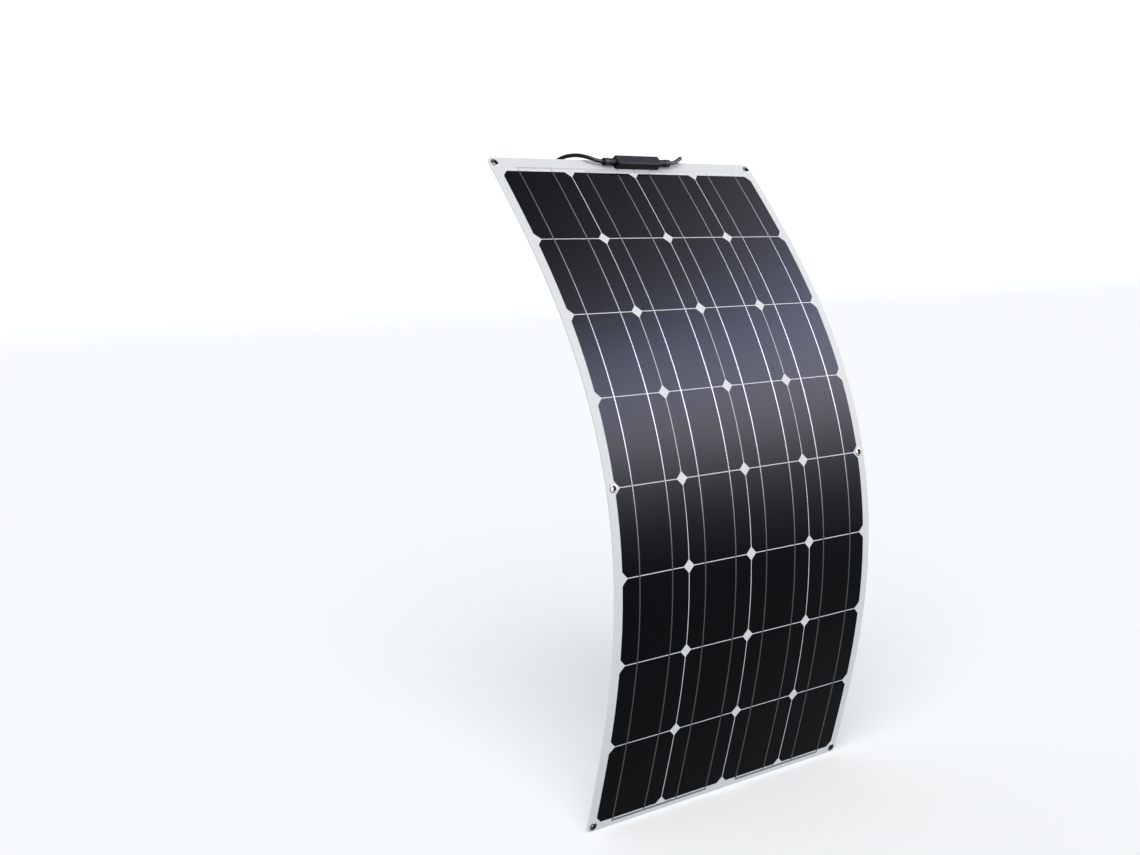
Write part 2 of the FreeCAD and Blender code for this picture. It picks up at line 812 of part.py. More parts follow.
def socket_housing():
    """The socket: a round shell, open at its far end for the plug's nose."""
    body = BODY_DIAMETER / 2
    bore = SOCKET_BORE / 2
    deep = SOCKET_END - SOCKET_DEPTH
    profile = [
        (0, SLEEVE_LENGTH),
        (body, SLEEVE_LENGTH),
        (body, BODY_END),
        (body - 1.0, BODY_END + 1.0),
        (body - 1.0, SOCKET_END),
        (bore, SOCKET_END),
        (bore, deep),
        (0, deep),
    ]
    return [on_tail(turned(profile), 1, RIGHT_LEAD_POINTS)]


def connector_contacts():
    """The plated pin of the plug and the sleeve contact of the socket."""
    pin = Part.makeCylinder(
        CONTACT_DIAMETER / 2, PLUG_NOSE_END - BODY_END - 3.0, FreeCAD.Vector(0, 0, BODY_END)
    )
    floor = SOCKET_END - SOCKET_DEPTH
    sleeve = Part.makeCylinder(CONTACT_BORE / 2, SOCKET_CONTACT, FreeCAD.Vector(0, 0, floor))
    mouth = Part.makeCylinder(
        CONTACT_DIAMETER / 2 + 0.1, SOCKET_CONTACT, FreeCAD.Vector(0, 0, floor + 2.0)
    )
    return [
        on_tail(pin, -1, LEFT_LEAD_POINTS),
        on_tail(sleeve.cut(mouth), 1, RIGHT_LEAD_POINTS),
    ]


def write(node, solids):
    """One STEP file for one node, which may hold several separate solids."""
    shape = solids[0] if len(solids) == 1 else Part.makeCompound(solids)
    count = len(shape.Solids)
    if not shape.isValid() or count < len(solids):
        print("PROBLEM", node, "valid", shape.isValid(), "solids", count, "of", len(solids))
    shape.exportStep(os.path.join("parts", node + ".step"))


def main():
    os.makedirs("parts", exist_ok=True)
    for name, first_row, last_row in STRIPS:
        write("front_film_" + name, front_film(first_row, last_row))
        write("encapsulant_" + name, encapsulant(first_row, last_row))
        write("cells_" + name, cells(first_row, last_row))
        write("ribbons_" + name, cell_ribbons(first_row, last_row))
        write("backsheet_" + name, backsheet(first_row, last_row))
    places = {"top": TOP_EYELETS, "middle": MIDDLE_EYELETS, "bottom": BOTTOM_EYELETS}
    for place, where in places.items():
        write("eyelets_" + place, eyelets(where))
        write("washers_" + place, washers(where))
    pieces = [
        bus_ribbons_top,
        bus_ribbons_bottom,
        junction_box_base,
        junction_box_lid,
        box_adhesive_pad,
        box_terminals,
        bypass_diodes,
        box_potting,
        gland_nuts,
        gland_seals,
        lead_left,
        lead_right,
        lead_left_coil,
        lead_right_coil,
        coil_ties,
        connector_sleeves,
        plug_housing,
        socket_housing,
        connector_contacts,
    ]
    for piece in pieces:
        write(piece.__name__, piece())


main()
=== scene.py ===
import math

import bmesh
import bpy
from mathutils import Matrix, Vector


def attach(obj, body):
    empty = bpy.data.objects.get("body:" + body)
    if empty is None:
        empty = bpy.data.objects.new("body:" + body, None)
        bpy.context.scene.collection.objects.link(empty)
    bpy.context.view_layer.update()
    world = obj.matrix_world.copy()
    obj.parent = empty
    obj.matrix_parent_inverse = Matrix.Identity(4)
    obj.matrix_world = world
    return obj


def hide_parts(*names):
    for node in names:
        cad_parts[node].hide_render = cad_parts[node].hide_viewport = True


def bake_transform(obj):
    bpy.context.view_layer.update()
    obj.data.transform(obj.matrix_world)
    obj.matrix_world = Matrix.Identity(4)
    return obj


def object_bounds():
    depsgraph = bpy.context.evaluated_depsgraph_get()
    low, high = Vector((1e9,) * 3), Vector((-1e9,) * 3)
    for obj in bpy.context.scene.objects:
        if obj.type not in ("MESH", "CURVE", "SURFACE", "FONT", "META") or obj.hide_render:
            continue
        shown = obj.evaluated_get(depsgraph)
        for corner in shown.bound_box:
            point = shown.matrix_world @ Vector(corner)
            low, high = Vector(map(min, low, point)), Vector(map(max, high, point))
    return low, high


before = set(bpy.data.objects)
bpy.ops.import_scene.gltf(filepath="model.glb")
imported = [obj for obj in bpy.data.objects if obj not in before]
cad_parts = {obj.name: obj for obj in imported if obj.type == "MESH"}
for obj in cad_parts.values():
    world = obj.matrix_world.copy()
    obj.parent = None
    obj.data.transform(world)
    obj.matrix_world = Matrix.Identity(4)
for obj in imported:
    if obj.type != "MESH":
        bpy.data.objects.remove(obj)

cad_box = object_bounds()
scene = bpy.context.scene
scene.view_settings.view_transform = "Standard"
scene.view_settings.look = "None"

# ---------------------------------------------------------------------------------------------
# Camera: a long lens a little above mid-height, to the left of the sheet, aimed past its left edge.
# Its frame is shifted a little so that the sheet stands right of the middle with room above it.
AIM = Vector((0.0, -0.00244, 0.00053))
AZIMUTH = math.radians(-42.05)
ELEVATION = math.radians(9.534)
DISTANCE = 2.31063
LEFT_OF_AIM = 0.12584
BELOW_AIM = 0.01662
back = Vector(
    (
        math.sin(AZIMUTH) * math.cos(ELEVATION),
        -math.cos(AZIMUTH) * math.cos(ELEVATION),
        math.sin(ELEVATION),
    )
)
right = Vector((math.cos(AZIMUTH), math.sin(AZIMUTH), 0.0))
up = back.cross(right)
lens = bpy.data.cameras.new("camera")
lens.sensor_width = 36.0
lens.lens = 49.16
lens.shift_x = -0.0789
lens.shift_y = 0.0461
lens.clip_end = 100.0
camera = bpy.data.objects.new("camera", lens)
place = AIM + back * DISTANCE - right * LEFT_OF_AIM - up * BELOW_AIM
camera.matrix_world = Matrix.Translation(place) @ Matrix((right, up, back)).transposed().to_4x4()
scene.collection.objects.link(camera)
scene.camera = camera

# ---------------------------------------------------------------------------------------------
# Leads: two 6 mm cables with a black rubber jacket. Each leaves its gland on the junction box, goes
# over the top edge, and hangs behind the sheet from its own weight, wound into a coil with a tie.
LEAD_DIAMETER = 0.006
COIL_RADIUS = 0.034
COIL_TURNS = 3.25
COIL_PITCH = 0.0062
POINTS_PER_TURN = 16
# The turns stray from a true circle by two slow waves: how far each reaches, and its pace.
COIL_LOOSENESS = [(0.0004, 2.3), (0.0003, 0.7)]
LEFT_ROUTE = [
    (-0.0470, 0.25331, 0.45313),
    (-0.0650, 0.25331, 0.45313),
    (-0.0830, 0.25600, 0.45900),
    (-0.0990, 0.26600, 0.46250),
    (-0.1095, 0.28250, 0.46000),
    (-0.1150, 0.29750, 0.45250),
    (-0.1165, 0.30650, 0.43600),
    (-0.1170, 0.30950, 0.41800),
    (-0.1170, 0.31050, 0.40000),
]
RIGHT_ROUTE = [
    (0.0710, 0.25331, 0.45313),
    (0.0890, 0.25331, 0.45313),
    (0.1055, 0.25750, 0.45980),
    (0.1205, 0.26900, 0.46330),
    (0.1300, 0.28600, 0.46080),
    (0.1345, 0.30150, 0.45300),
    (0.1355, 0.31050, 0.43600),
    (0.1355, 0.31300, 0.41750),
    (0.1355, 0.31350, 0.39950),
]
# The free tail under a coil, run by run: how far inwards and how far up.
TAIL_RUNS = [(0.0177, -0.0031), (0.0146, -0.0106), (0.0082, -0.0160), (0.0, -0.0210)]


class Wire:
    """The output of a shader node, with sums on it written as Python sums."""

    def __init__(self, finish, socket):
        self.finish = finish
        self.socket = socket

    def maths(self, operation, *values):
        values = dict(enumerate(values))
        made = self.finish.node("ShaderNodeMath", {"operation": operation}, values)
        return Wire(self.finish, made.outputs[0])

    def __add__(self, other):
        return self.maths("ADD", self, other)

    def __radd__(self, other):
        return self.maths("ADD", other, self)

    def __mul__(self, other):
        return self.maths("MULTIPLY", self, other)

    def __rmul__(self, other):
        return self.maths("MULTIPLY", other, self)

    def __truediv__(self, other):
        return self.maths("DIVIDE", self, other)

    def __rtruediv__(self, other):
        return self.maths("DIVIDE", other, self)

    def __gt__(self, other):
        return self.maths("GREATER_THAN", self, other)

    def __lt__(self, other):
        return self.maths("LESS_THAN", self, other)

    def whole(self):
        return self.maths("FLOOR", self)

    def fraction(self):
        return self.maths("FRACT", self)


class Finish:
    """A material: a principled surface, and one method that adds any node in front of it."""

    NOISE_RANGE = (0.3, 0.7)

    def __init__(self, name, **surface):
        self.material = bpy.data.materials.new(name)
        self.material.use_nodes = True
        self.tree = self.material.node_tree
        self.surface = self.tree.nodes["Principled BSDF"]
        for key, value in surface.items():
            self.feed(self.surface.inputs[key.replace("_", " ")], value)

    def feed(self, socket, value):
        value = getattr(value, "socket", value)
        if isinstance(value, bpy.types.NodeSocket):
            self.tree.links.new(value, socket)
        else:
            socket.default_value = value

    def node(self, kind, settings=None, inputs=None):
        made = self.tree.nodes.new(kind)
        for key, value in (settings or {}).items():
            if key == "stops":
                while len(made.color_ramp.elements) < len(value):
                    made.color_ramp.elements.new(0.5)
                for stop, (position, colour) in zip(made.color_ramp.elements, value):
                    stop.position = position
                    stop.color = colour
            else:
                setattr(made, key, value)
        for key, value in (inputs or {}).items():
            self.feed(made.inputs[key], value)
        return made

    def place(self, source="Object"):
        return self.node("ShaderNodeTexCoord").outputs[source]

    def noise(self, scale, detail=3.0, where=None):
        inputs = {"Vector": where or self.place(), "Scale": scale, "Detail": detail}
        return Wire(self, self.node("ShaderNodeTexNoise", {}, inputs).outputs["Fac"])

    def mix(self, share, first, second):
        settings = {"data_type": "RGBA"}
        inputs = {0: share, 6: (*first, 1.0) if isinstance(first, tuple) else first}
        inputs[7] = (*second, 1.0) if isinstance(second, tuple) else second
        return self.node("ShaderNodeMix", settings, inputs).outputs[2]

    def spread(self, value, low, high, new_low, new_high):
        inputs = {0: value, 1: low, 2: high, 3: new_low, 4: new_high}
        made = self.node("ShaderNodeMapRange", {"interpolation_type": "SMOOTHSTEP"}, inputs)
        return Wire(self, made.outputs[0])

    def tone(self, share, first, second):
        """Vary the base colour from the first tone to the second."""
        self.feed(self.surface.inputs["Base Color"], self.mix(share, first, second))

    def rough(self, noise, low, high):
        """Vary the roughness with a noise, from its low patches to its high ones."""
        varied = self.spread(noise, *self.NOISE_RANGE, low, high)
        self.feed(self.surface.inputs["Roughness"], varied)

    def bump(self, height, strength, distance):
        inputs = {"Height": height, "Strength": strength, "Distance": distance}
        self.feed(self.surface.inputs["Normal"], self.node("ShaderNodeBump", {}, inputs).outputs[0])


class Glow(Finish):
    """The nodes of a light or of the surround, added by the same methods."""

    def __init__(self, light):
        self.tree = light.node_tree


def lead_points(route, side):
    """The whole line of one lead: its route, the turns of its coil and its free tail."""
    points = list(route)
    start = Vector(route[-1])
    middle = start - Vector((side * COIL_RADIUS, 0.0, 0.0))
    depth = COIL_TURNS * COIL_PITCH
    steps = round(COIL_TURNS * POINTS_PER_TURN)
    loose = COIL_RADIUS / math.cos(math.pi / POINTS_PER_TURN)
    for step in range(1, steps):
        turn = 2 * math.pi * step / POINTS_PER_TURN
        size = loose + sum(swing * math.sin(pace * turn) for swing, pace in COIL_LOOSENESS)
        points.append(
            (
                middle.x + side * size * math.cos(turn),
                middle.y - depth * step / steps,
                middle.z - size * math.sin(turn),
            )
        )
    here = (middle.x, middle.y - depth, middle.z - COIL_RADIUS)
    points.append(here)
    for across, rise in TAIL_RUNS:
        here = (here[0] - side * across, here[1], here[2] + rise)
        points.append(here)
    return points


def lead(name, route, side):
    """One lead as a round line through its points."""
    curve = bpy.data.curves.new(name, "CURVE")
    curve.dimensions = "3D"
    curve.bevel_depth = LEAD_DIAMETER / 2
    curve.bevel_resolution = 6
    curve.use_fill_caps = True
    curve.resolution_u = 6
    points = lead_points(route, side)
    spline = curve.splines.new("NURBS")
    spline.points.add(len(points) - 1)
    for point, place in zip(spline.points, points):
        point.co = (*place, 1.0)
    spline.order_u = 3
    spline.use_endpoint_u = True
    made = bpy.data.objects.new(name, curve)
    scene.collection.objects.link(made)
    return made


jacket = Finish("black_jacket", Specular_IOR_Level=0.08)
smudge = jacket.noise(140.0, 4.0)
jacket.tone(smudge, (0.006, 0.006, 0.0065), (0.012, 0.0115, 0.0115))
jacket.rough(smudge, 0.38, 0.55)
jacket.bump(jacket.noise(2200.0, 2.0), 0.25, 0.0001)
lead_left = lead("left_lead", LEFT_ROUTE, -1)
lead_right = lead("right_lead", RIGHT_ROUTE, 1)
for made in (lead_left, lead_right):
    made.data.materials.append(jacket.material)
    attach(made, "row_1")
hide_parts("lead_left", "lead_left_coil")
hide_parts("lead_right", "lead_right_coil")

# ---------------------------------------------------------------------------------------------
# Connectors: a moulded plug on the left lead and a socket on the right one, each closed on its
# cable by a fluted nut. They hang under their coils.
moulded = Finish("moulded_connector", Specular_IOR_Level=0.12)
grain = moulded.noise(900.0, 3.0)
moulded.tone(grain, (0.011, 0.011, 0.012), (0.020, 0.020, 0.020))
moulded.rough(moulded.noise(60.0), 0.36, 0.5)
moulded.bump(grain, 0.2, 0.0001)
plated = Finish("plated_contact", Metallic=1.0)
plated.tone(plated.noise(700.0), (0.62, 0.60, 0.56), (0.74, 0.72, 0.68))
plated.rough(plated.noise(500.0), 0.22, 0.4)


def paint(finish, *nodes):
    """Give CAD nodes, whose shapes stay as they are, their finish."""
    for name in nodes:
        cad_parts[name].data.materials.clear()
        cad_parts[name].data.materials.append(finish.material)


paint(moulded, "connector_sleeves", "plug_housing", "socket_housing")
paint(plated, "connector_contacts")

# ---------------------------------------------------------------------------------------------
# Coil ties: black nylon straps, each moulded in one with its square head. One is pulled tight
# round the top of each coil and cut short.
nylon = Finish("nylon_tie", Specular_IOR_Level=0.12)
nylon.tone(nylon.noise(300.0), (0.012, 0.012, 0.012), (0.024, 0.024, 0.024))
nylon.rough(nylon.noise(120.0), 0.34, 0.5)
nylon.bump(nylon.noise(1500.0), 0.15, 0.0001)
paint(nylon, "coil_ties")

# ---------------------------------------------------------------------------------------------
# White sheet: the fibreglass-backed carrier and the clear film laminated over it, 2.5 mm thick.
# It is cut with round corners, punched for six eyelets, and bows along its length.
SHEET_WIDTH = 0.535
TOP_EDGE = 0.533
BOTTOM_EDGE = -0.520
THICKNESS = 0.0025
CORNER_RADIUS = 0.009
PITCH = 0.127
MIDDLE_LEAN = math.radians(12.3)
MIDDLE_CURVATURE = 1.48
BOW_LENGTH = 1.050
EYELET_HOLE = 0.0041
HOLE_SEGMENTS = 32
CORNER_SEGMENTS = 8
SLICE = PITCH / 16
SEAM_MARGIN = 0.001
SOFT_ANGLE = math.radians(30)
RIPPLE_SCALE = 14.0
PEEL_SCALE = 1300.0
RIPPLE_SHARE = 3.0
PEEL_SHARE = 0.12
EYELETS = {"top": (0.258, 0.5225), "middle": (0.256, 0.0), "bottom": (0.257, -0.5118)}
row_curvatures = [
    MIDDLE_CURVATURE * math.cos(math.pi * PITCH * (row + 0.5) / BOW_LENGTH) for row in range(4)
]


def on_sheet(across, station, height=0.0):
    """The point across the sheet, up the sheet from mid-length, and out of its front face."""
    sign = math.copysign(1.0, station)
    lean = MIDDLE_LEAN
    y = -THICKNESS * math.cos(lean)
    z = THICKNESS * math.sin(lean)
    left = abs(station)
    for curvature in row_curvatures:
        step = min(PITCH, left)
        turned = lean + sign * curvature * step
        y += (math.cos(lean) - math.cos(turned)) / curvature
        z += (math.sin(turned) - math.sin(lean)) / curvature
        lean = turned
        left -= step
    y += sign * left * math.sin(lean)
    z += sign * left * math.cos(lean)
    return Vector((across, y - height * math.cos(lean), z + height * math.sin(lean)))


def frame_at(across, station):
    """The place on the front face: X across, Y up the sheet, Z out of the front."""
    origin = on_sheet(across, station)
    out = (on_sheet(across, station, 1.0) - origin).normalized()
    across_axis = Vector((1.0, 0.0, 0.0))
    turn = Matrix((across_axis, out.cross(across_axis), out)).transposed().to_4x4()
    return Matrix.Translation(origin) @ turn


# Each span reaches from the middle of one row of cells to the middle of the next, between the
# two bodies that carry those rows: low and high station, inner and outer body.
SPANS = [
    ("8", BOTTOM_EDGE, -3.5 * PITCH, "row_8", "row_8"),
    ("7_8", -3.5 * PITCH, -2.5 * PITCH, "row_7", "row_8"),
    ("6_7", -2.5 * PITCH, -1.5 * PITCH, "row_6", "row_7"),
    ("5_6", -1.5 * PITCH, -0.5 * PITCH, "middle_rows", "row_6"),
    ("4_5", -0.5 * PITCH, 0.5 * PITCH, "middle_rows", "middle_rows"),
    ("3_4", 0.5 * PITCH, 1.5 * PITCH, "middle_rows", "row_3"),
    ("2_3", 1.5 * PITCH, 2.5 * PITCH, "row_3", "row_2"),
    ("1_2", 2.5 * PITCH, 3.5 * PITCH, "row_2", "row_1"),
    ("1", 3.5 * PITCH, TOP_EDGE, "row_1", "row_1"),
]
NODE_ENDS = {"middle_rows": "rows_4_5"}


def cut(flat, station, **clear):
    """Score a flat blank right across, or clear away what lies past the line."""
    geometry = flat.verts[:] + flat.edges[:] + flat.faces[:]
    bmesh.ops.bisect_plane(
        flat, geom=geometry, dist=1e-7, plane_co=(0, station, 0), plane_no=(0, 1, 0), **clear
    )


def bow(name, flat, finish, layers):
    """Cut a flat blank into spans and bow them; a span inside one body is attached to it, the rest
    stay free.
    """
    for step in range(math.ceil(BOTTOM_EDGE / SLICE), math.floor(TOP_EDGE / SLICE) + 1):
        cut(flat, step * SLICE)
    for _, seam, _, _, _ in SPANS[1:]:
        cut(flat, seam - SEAM_MARGIN)
        cut(flat, seam + SEAM_MARGIN)
    made = []
    for label, low, high, inner, outer in SPANS:
        part = flat.copy()
        if low > BOTTOM_EDGE:
            cut(part, low, clear_inner=True)
        if high < TOP_EDGE:
            cut(part, high, clear_outer=True)
        rims = [edge for edge in part.edges if edge.is_boundary]
        if rims:
            bmesh.ops.holes_fill(part, edges=rims, sides=0)
        bmesh.ops.recalc_face_normals(part, faces=part.faces)
        flat_place = part.loops.layers.uv.new("flat_place")
        for face in part.faces:
            face.smooth = True
            for loop in face.loops:
                loop[flat_place].uv = loop.vert.co.xy
        for vertex in part.verts:
            vertex.co = on_sheet(*vertex.co)
        mesh = bpy.data.meshes.new(f"{name}_{label}")
        part.to_mesh(mesh)
        part.free()
        mesh.set_sharp_from_angle(angle=SOFT_ANGLE)
        mesh.materials.append(finish.material)
        piece = bpy.data.objects.new(mesh.name, mesh)
        scene.collection.objects.link(piece)
        if inner == outer:
            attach(piece, inner)
        else:
            start, end = (low, high) if low > 0 else (high, low)
            on_sheet(0, start)
            on_sheet(0, end)
            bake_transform(piece)
        row = NODE_ENDS.get(outer, outer)
        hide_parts(*[f"{layer}_{row}" for layer in layers])
        made.append(piece)
    return made


def film_surface(finish, where):
    """The long ripples and the fine peel of the clear film, over the white and the cells alike."""
    ripple = finish.noise(RIPPLE_SCALE, 2.0, where)
    peel = finish.noise(PEEL_SCALE, 2.0, where)
    finish.bump(ripple * RIPPLE_SHARE + peel * PEEL_SHARE, 0.35, 0.0004)


white = Finish(
    "white_laminate",
    Coat_Weight=0.8,
    Coat_Roughness=0.22,
    Coat_IOR=1.05,
    Specular_IOR_Level=0.0,
)
surface_place = white.place("UV")
white.tone(white.noise(9.0, 5.0, surface_place), (0.705, 0.71, 0.715), (0.745, 0.75, 0.755))
white.rough(white.noise(45.0, 4.0, surface_place), 0.34, 0.5)
film_surface(white, surface_place)

outline = bmesh.new()
bmesh.ops.create_grid(outline, x_segments=1, y_segments=1, size=0.5)
bmesh.ops.scale(outline, vec=(SHEET_WIDTH, TOP_EDGE - BOTTOM_EDGE, 1.0), verts=outline.verts)
bmesh.ops.translate(outline, vec=(0.0, (TOP_EDGE + BOTTOM_EDGE) / 2, 0.0), verts=outline.verts)
bmesh.ops.bevel(
    outline,
    geom=outline.verts[:],
    offset=CORNER_RADIUS,
    offset_type="OFFSET",
    segments=CORNER_SEGMENTS,
    profile=0.5,
    affect="VERTICES",
    material=-1,
)
bmesh.ops.delete(outline, geom=outline.faces[:], context="FACES_ONLY")
for across, station in EYELETS.values():
    for side in (-1, 1):
        bmesh.ops.create_circle(
            outline,
            cap_ends=False,
            segments=HOLE_SEGMENTS,
            radius=EYELET_HOLE,
            matrix=Matrix.Translation((side * across, station, 0.0)),
        )
bmesh.ops.triangle_fill(outline, use_beauty=True, use_dissolve=False, edges=outline.edges[:])
bmesh.ops.recalc_face_normals(outline, faces=outline.faces)
if sum(face.normal.z for face in outline.faces) < 0:
    bmesh.ops.reverse_faces(outline, faces=outline.faces)
walls = bmesh.ops.extrude_face_region(outline, geom=outline.faces[:])
bottom = [item for item in walls["geom"] if isinstance(item, bmesh.types.BMVert)]
bmesh.ops.translate(outline, vec=(0.0, 0.0, -THICKNESS), verts=bottom)
bow("sheet", outline, white, ("backsheet", "encapsulant", "front_film"))
outline.free()

# ---------------------------------------------------------------------------------------------
# Cells: 32 thin wafers of blue-black silicon, square with corners trimmed by the round ingot that
# they are sawn from. They lie under the clear film, which rises a little over each of them.
CELL = 0.1257
WAFER_RADIUS = 0.0825
ARC_STEP = 2.84
ARC_EASE = 0.00003
CELL_SINK = 0.0001
CELL_RISE = 0.00014
CELL_BEVEL = 0.0001
FINGER_PITCH = 0.002
silicon = Finish(
    "silicon",
    Coat_Weight=1.0,
    Coat_Roughness=0.22,
    Coat_IOR=1.1,
    Specular_IOR_Level=0.0,
)
flat_place = silicon.place("UV")
axes = silicon.node("ShaderNodeSeparateXYZ", {}, {0: flat_place})
across = Wire(silicon, axes.outputs[0])
along = Wire(silicon, axes.outputs[1])
cell_place = {0: (across / PITCH).whole(), 1: (along / PITCH).whole()}
number = silicon.node("ShaderNodeCombineXYZ", {}, cell_place).outputs[0]
lot = Wire(silicon, silicon.node("ShaderNodeTexWhiteNoise", {}, {"Vector": number}).outputs[0])
cloud = silicon.noise(16.0, 3.0, flat_place)
tint = silicon.mix(lot * 0.6 + cloud * 0.4, (0.0004, 0.0009, 0.0016), (0.0012, 0.0018, 0.0028))
fingers = silicon.spread((along / FINGER_PITCH).fraction(), 0.02, 0.06, 1.0, 0.0)
silicon.tone(fingers * 0.10, tint, (0.10, 0.10, 0.11))
silicon.rough(cloud, 0.42, 0.55)
film_surface(silicon, flat_place)

wafer = bmesh.new()
bmesh.ops.create_grid(wafer, x_segments=1, y_segments=1, size=CELL / 2)
for corner in (45, 135, 225, 315):
    for nudge in (-ARC_STEP, 0.0, ARC_STEP):
        angle = math.radians(corner + nudge)
        direction = Vector((math.cos(angle), math.sin(angle), 0.0))
        bmesh.ops.bisect_plane(
            wafer,
            geom=wafer.verts[:] + wafer.edges[:] + wafer.faces[:],
            plane_co=direction * (WAFER_RADIUS - ARC_EASE),
            plane_no=direction,
            clear_outer=True,
        )
bmesh.ops.translate(wafer, vec=(0.0, 0.0, -CELL_SINK), verts=wafer.verts)
walls = bmesh.ops.extrude_face_region(wafer, geom=wafer.faces[:])
top = [item for item in walls["geom"] if isinstance(item, bmesh.types.BMVert)]
bmesh.ops.translate(wafer, vec=(0.0, 0.0, CELL_SINK + CELL_RISE), verts=top)
rim = [edge for edge in wafer.edges if all(vertex.co.z > 0 for vertex in edge.verts)]
bmesh.ops.bevel(
    wafer, geom=rim, offset=CELL_BEVEL, segments=1, profile=0.5, affect="EDGES", material=-1
)
array = bmesh.new()
single = bpy.data.meshes.new("wafer")
wafer.to_mesh(single)
wafer.free()
for row_index in range(-4, 4):
    for column_index in range(-2, 2):
        before = len(array.verts)
        array.from_mesh(single)
        array.verts.ensure_lookup_table()
        shift = ((column_index + 0.5) * PITCH, (row_index + 0.5) * PITCH, 0.0)
        bmesh.ops.translate(array, vec=shift, verts=array.verts[before:])
bow("cells", array, silicon, ("cells",))
array.free()

# ---------------------------------------------------------------------------------------------
# Ribbons: flat wires of tinned copper soldered along the cells, two on each column, and the wider
# ones in the top and bottom margins that join the columns and run in under the junction box.
RIBBON_LOW = -0.00005
RIBBON_RISE = 0.00030
RIBBON_WIDTH = 0.0022
RIBBON_OFFSET = 0.031
RIBBON_FOOT = -0.5115
INNER_TOP = 0.5105
OUTER_TOP = 0.5143
BUS_RISE = 0.00022
BUS_BEVEL = 0.0002
TOP_MARGIN = 0.5077
LOW_MARGIN = -0.5085
DIMPLE_PITCH = 0.0042
ribbon = Finish("tinned_ribbon", Coat_Roughness=0.26, Coat_IOR=1.5, Specular_IOR_Level=0.0)
strip_place = ribbon.place("UV")
solder = ribbon.noise(260.0, 4.0, strip_place)
strip_axes = ribbon.node("ShaderNodeSeparateXYZ", {}, {0: strip_place})
up_strip = Wire(ribbon, strip_axes.outputs[1])
solder_tint = ribbon.mix(solder, (0.018, 0.018, 0.018), (0.034, 0.034, 0.034))
bright_tin = ribbon.mix(solder, (0.50, 0.46, 0.43), (0.62, 0.59, 0.57))
# The bus ribbons in the bottom margin get a darker tone than the same ribbons at the top: painted
# shade on the lower end of the sheet.
painted_shade_tin = ribbon.mix(solder, (0.13, 0.14, 0.14), (0.19, 0.20, 0.20))
upper = ribbon.mix(up_strip > TOP_MARGIN, solder_tint, bright_tin)
# Below LOW_MARGIN the ribbons take that darker tone, which is painted shade.
ribbon.tone(up_strip < LOW_MARGIN, upper, painted_shade_tin)
ribbon.rough(solder, 0.32, 0.46)
dimple = (up_strip / DIMPLE_PITCH).fraction()
ribbon.feed(ribbon.surface.inputs["Coat Weight"], ribbon.spread(dimple, 0.15, 0.4, 0.68, 1.0))
ribbon.bump(ribbon.noise(900.0, 2.0, strip_place), 0.3, 0.0002)


def bar(flat, left, far, low, high, rise):
    """A flat wire between two distances across and two stations, with its top edges eased."""
    size = Vector((far - left, high - low, rise - RIBBON_LOW))
    middle = Vector(((left + far) / 2, (low + high) / 2, (rise + RIBBON_LOW) / 2))
    scale = Matrix.Diagonal((*size, 1.0))
    made = bmesh.ops.create_cube(flat, size=1.0, matrix=Matrix.Translation(middle) @ scale)
    edges = {edge for vertex in made["verts"] for edge in vertex.link_edges}
    eased = [edge for edge in edges if all(vertex.co.z > middle.z for vertex in edge.verts)]
    bmesh.ops.bevel(
        flat, geom=eased, offset=BUS_BEVEL, segments=2, profile=0.5, affect="EDGES", material=-1
    )


wires = bmesh.new()
for column_index, top in enumerate((OUTER_TOP, INNER_TOP, INNER_TOP, OUTER_TOP)):
    for side in (-1, 1):
        left = (column_index - 1.5) * PITCH + side * RIBBON_OFFSET - RIBBON_WIDTH / 2
        bar(wires, left, left + RIBBON_WIDTH, RIBBON_FOOT, top, RIBBON_RISE)
# The bus ribbons and the tails that turn up from them into the box: from and to, across and up.
for left, far, low, high in (
    (-0.2225, -0.026, 0.5124, 0.5154),
    (-0.030, -0.026, 0.5124, 0.5210),
    (0.038, 0.2225, 0.5124, 0.5154),
    (0.038, 0.042, 0.5124, 0.5210),
    (-0.0955, 0.0955, 0.5086, 0.5116),
    (0.004, 0.008, 0.5086, 0.5210),
    (-0.2225, -0.0315, -0.5132, -0.5092),
    (0.0315, 0.2225, -0.5132, -0.5092),
):
    bar(wires, left, far, low, high, BUS_RISE)
ribbons = bow("ribbons", wires, ribbon, ("ribbons",))
wires.free()
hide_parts("bus_ribbons_bottom")
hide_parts("bus_ribbons_top")

# ---------------------------------------------------------------------------------------------
# Eyelets: plated brass, pressed through the laminate. A domed flange shows on the front, and the
# barrel is rolled over a flat washer behind.
# The near-black tone on the bore and on the inner rim of each eyelet is painted shade in its hollow.
bore = Finish("eyelet_bore_painted_shade", Metallic=1.0, Specular_IOR_Level=0.2)
bore_mottle = bore.noise(700.0, 4.0)
bore.tone(bore_mottle, (0.012, 0.010, 0.009), (0.030, 0.024, 0.018))
bore.rough(bore_mottle, 0.45, 0.65)
plating = Finish("eyelet_plating", Metallic=1.0)
scuff = plating.noise(420.0, 4.0)
plating.tone(scuff, (0.085, 0.070, 0.050), (0.150, 0.125, 0.090))
plating.rough(scuff, 0.2, 0.38)
plating.bump(plating.noise(1600.0, 2.0), 0.2, 0.0001)
EYELET_PROFILE = [
    (0.0035, -0.0034),
    (0.0038, -0.0036),
    (0.0046, -0.0036),
    (0.0052, -0.0033),
    (0.0052, -0.00304),
    (0.0040, -0.00304),
    (0.0040, 0.0),
    (0.0064, 0.0),
    (0.0065, 0.0002),
    (0.0062, 0.0006),
    (0.0056, 0.0009),
    (0.0047, 0.0010),
    (0.0040, 0.0008),
    (0.0036, 0.0004),
    (0.0035, -0.0002),
]
